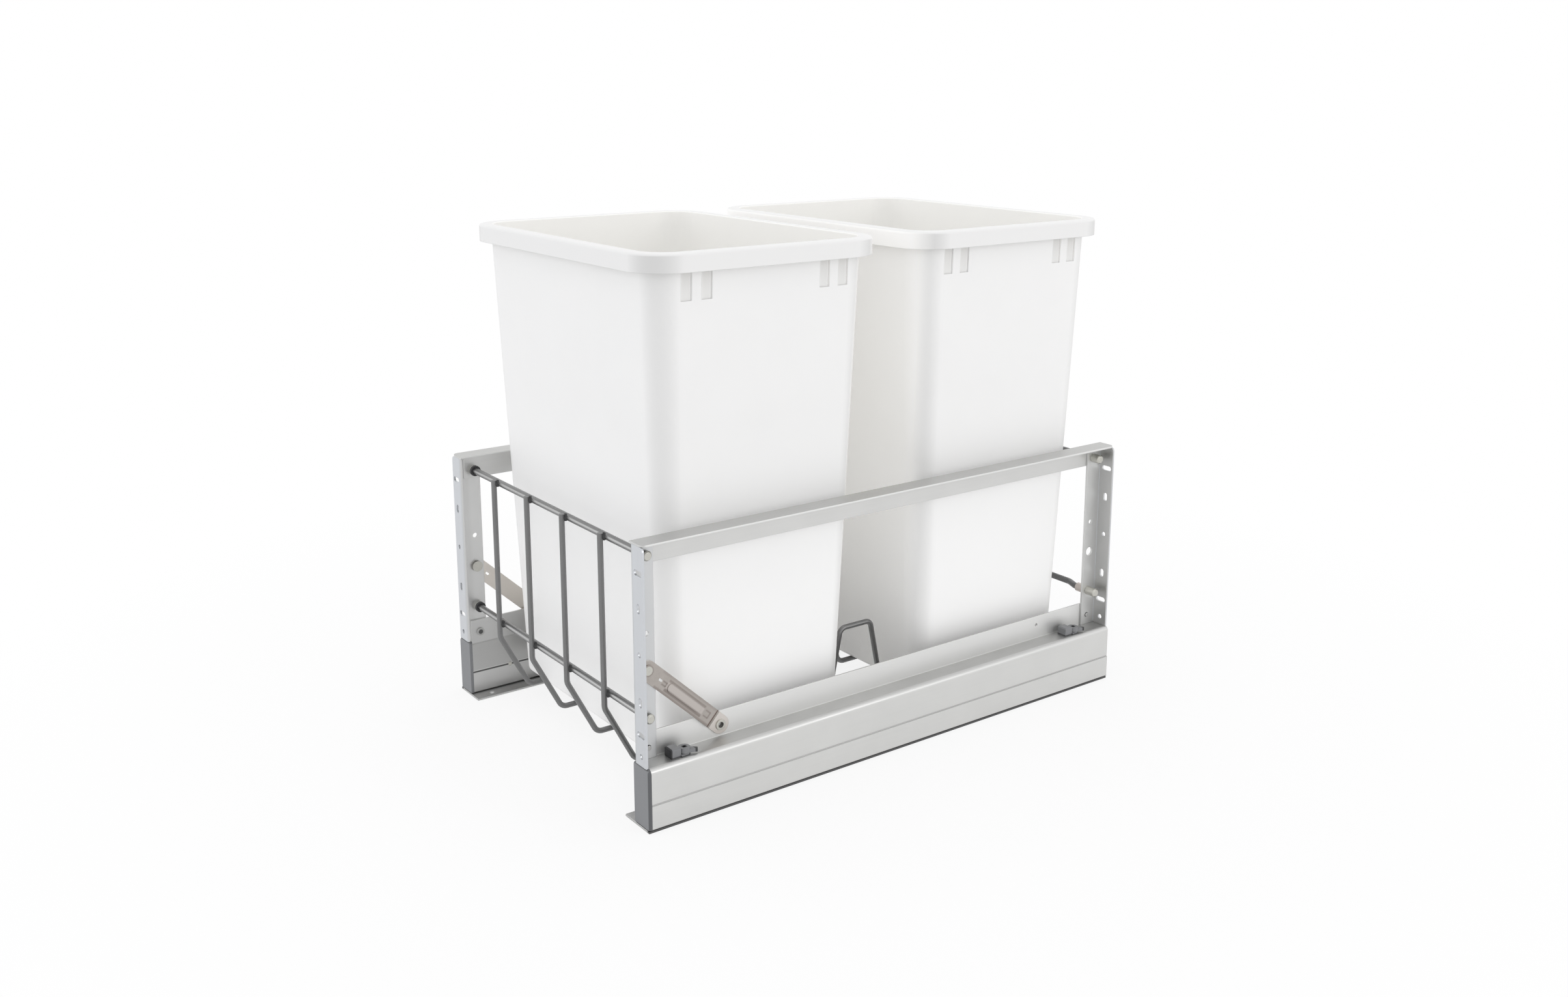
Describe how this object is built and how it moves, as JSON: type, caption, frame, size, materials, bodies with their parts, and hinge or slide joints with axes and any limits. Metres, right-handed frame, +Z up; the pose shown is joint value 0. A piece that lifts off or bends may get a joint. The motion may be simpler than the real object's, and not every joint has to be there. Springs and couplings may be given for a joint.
{
  "type": "pull out bin frame",
  "caption": "Full-extension pull-out frame on side-mounted ball slides with a wire cradle that carries two tall open waste bins under a counter.",
  "frame": {"origin": "on the cabinet floor, under the middle of the frame", "axes": "+Z up, +Y to the back of the cabinet, +X to the right; the frame pulls out along -Y"},
  "size_m": [0.375, 0.559, 0.4818],
  "materials": {
    "aluminium_profile": "satin anodised aluminium extrusion",
    "zinc_steel": "bright zinc-plated sheet steel",
    "slide_steel": "zinc-plated rolled steel with a film of grease",
    "ball_cage_steel": "thin pressed steel with polished balls",
    "dark_wire": "dark satin powder coat on steel wire",
    "nickel_strap": "warm nickel-plated steel strap",
    "bright_fastener": "nickel-plated steel",
    "dark_plastic": "slate grey moulded nylon",
    "damper_plastic": "grey moulded plastic",
    "damper_rod": "polished steel rod",
    "white_plastic": "white moulded polypropylene, fine satin"
  },
  "bodies": {
    "cabinet_slides": {"floor_bracket_left": "zinc_steel", "floor_bracket_right": "zinc_steel", "cabinet_member_left": "slide_steel", "cabinet_member_right": "slide_steel", "bracket_rivets": "bright_fastener", "damper_housing_left": "damper_plastic", "damper_housing_right": "damper_plastic", "damper_plunger_left": "damper_rod", "damper_plunger_right": "damper_rod"},
    "frame": {"side_profile_left": "aluminium_profile", "side_profile_right": "aluminium_profile", "top_rail_left": "aluminium_profile", "top_rail_right": "aluminium_profile", "front_bracket_left": "zinc_steel", "front_bracket_right": "zinc_steel", "rear_bracket_left": "zinc_steel", "rear_bracket_right": "zinc_steel", "front_cap_left": "dark_plastic", "front_cap_right": "dark_plastic", "drawer_member_left": "slide_steel", "drawer_member_right": "slide_steel", "damper_striker_left": "damper_plastic", "damper_striker_right": "damper_plastic", "brace_left": "nickel_strap", "brace_right": "nickel_strap", "front_top_rod": "dark_wire", "front_low_rod": "dark_wire", "rear_top_rod": "dark_wire", "rear_low_rod": "dark_wire", "cradle_wire_1": "dark_wire", "cradle_wire_2": "dark_wire", "cradle_wire_3": "dark_wire", "cradle_wire_4": "dark_wire", "drawer_rivets": "bright_fastener", "rod_bolts": "bright_fastener", "rod_collars": "dark_plastic", "rear_sleeves": "nickel_strap", "bracket_screws": "bright_fastener", "brace_bolts": "bright_fastener", "brace_rivets": "bright_fastener", "lock_housing_front_left": "dark_plastic", "lock_housing_front_right": "dark_plastic", "lock_housing_rear_left": "dark_plastic", "lock_housing_rear_right": "dark_plastic"},
    "bin_front": {"bin_front": "white_plastic"},
    "bin_rear": {"bin_rear": "white_plastic"},
    "outer_cage_left": {"outer_ball_cage_left": "ball_cage_steel"},
    "mid_slide_left": {"mid_member_left": "slide_steel"},
    "inner_cage_left": {"inner_ball_cage_left": "ball_cage_steel"},
    "outer_cage_right": {"outer_ball_cage_right": "ball_cage_steel"},
    "mid_slide_right": {"mid_member_right": "slide_steel"},
    "inner_cage_right": {"inner_ball_cage_right": "ball_cage_steel"},
    "lock_front_left": {"lock_cam_front_left": "dark_plastic"},
    "lock_front_right": {"lock_cam_front_right": "dark_plastic"},
    "lock_rear_left": {"lock_cam_rear_left": "dark_plastic"},
    "lock_rear_right": {"lock_cam_rear_right": "dark_plastic"}
  },
  "joints": [
    {"name": "pull_out", "type": "slide", "parent": "cabinet_slides", "child": "frame", "axis": [0, -1, 0], "range_m": [0, 0.533]},
    {"name": "outer_cage_left_run", "type": "slide", "parent": "cabinet_slides", "child": "outer_cage_left", "axis": [0, -1, 0], "range_m": [0, 0.1343]},
    {"name": "mid_slide_left_run", "type": "slide", "parent": "cabinet_slides", "child": "mid_slide_left", "axis": [0, -1, 0], "range_m": [0, 0.2675]},
    {"name": "inner_cage_left_run", "type": "slide", "parent": "cabinet_slides", "child": "inner_cage_left", "axis": [0, -1, 0], "range_m": [0, 0.4008]},
    {"name": "outer_cage_right_run", "type": "slide", "parent": "cabinet_slides", "child": "outer_cage_right", "axis": [0, -1, 0], "range_m": [0, 0.1343]},
    {"name": "mid_slide_right_run", "type": "slide", "parent": "cabinet_slides", "child": "mid_slide_right", "axis": [0, -1, 0], "range_m": [0, 0.2675]},
    {"name": "inner_cage_right_run", "type": "slide", "parent": "cabinet_slides", "child": "inner_cage_right", "axis": [0, -1, 0], "range_m": [0, 0.4008]},
    {"name": "bin_front_lift", "type": "slide", "parent": "frame", "child": "bin_front", "axis": [0, 0, 1], "range_m": [0, 0.25]},
    {"name": "bin_rear_lift", "type": "slide", "parent": "frame", "child": "bin_rear", "axis": [0, 0, 1], "range_m": [0, 0.25]},
    {"name": "lock_front_left_turn", "type": "hinge", "parent": "frame", "child": "lock_front_left", "pos_m": [-0.17655, -0.2375, 0.0615], "axis": [0, 0, 1], "range_deg": [0, 80]},
    {"name": "lock_front_right_turn", "type": "hinge", "parent": "frame", "child": "lock_front_right", "pos_m": [0.17655, -0.2375, 0.0615], "axis": [0, 0, -1], "range_deg": [0, 80]},
    {"name": "lock_rear_left_turn", "type": "hinge", "parent": "frame", "child": "lock_rear_left", "pos_m": [-0.17655, 0.2375, 0.0615], "axis": [0, 0, 1], "range_deg": [0, 80]},
    {"name": "lock_rear_right_turn", "type": "hinge", "parent": "frame", "child": "lock_rear_right", "pos_m": [0.17655, 0.2375, 0.0615], "axis": [0, 0, -1], "range_deg": [0, 80]}
  ],
  "couplings": [
    {"joint": "outer_cage_left_run", "follows": "pull_out", "ratio": 0.25},
    {"joint": "mid_slide_left_run", "follows": "pull_out", "ratio": 0.5},
    {"joint": "inner_cage_left_run", "follows": "pull_out", "ratio": 0.75},
    {"joint": "outer_cage_right_run", "follows": "pull_out", "ratio": 0.25},
    {"joint": "mid_slide_right_run", "follows": "pull_out", "ratio": 0.5},
    {"joint": "inner_cage_right_run", "follows": "pull_out", "ratio": 0.75}
  ]
}
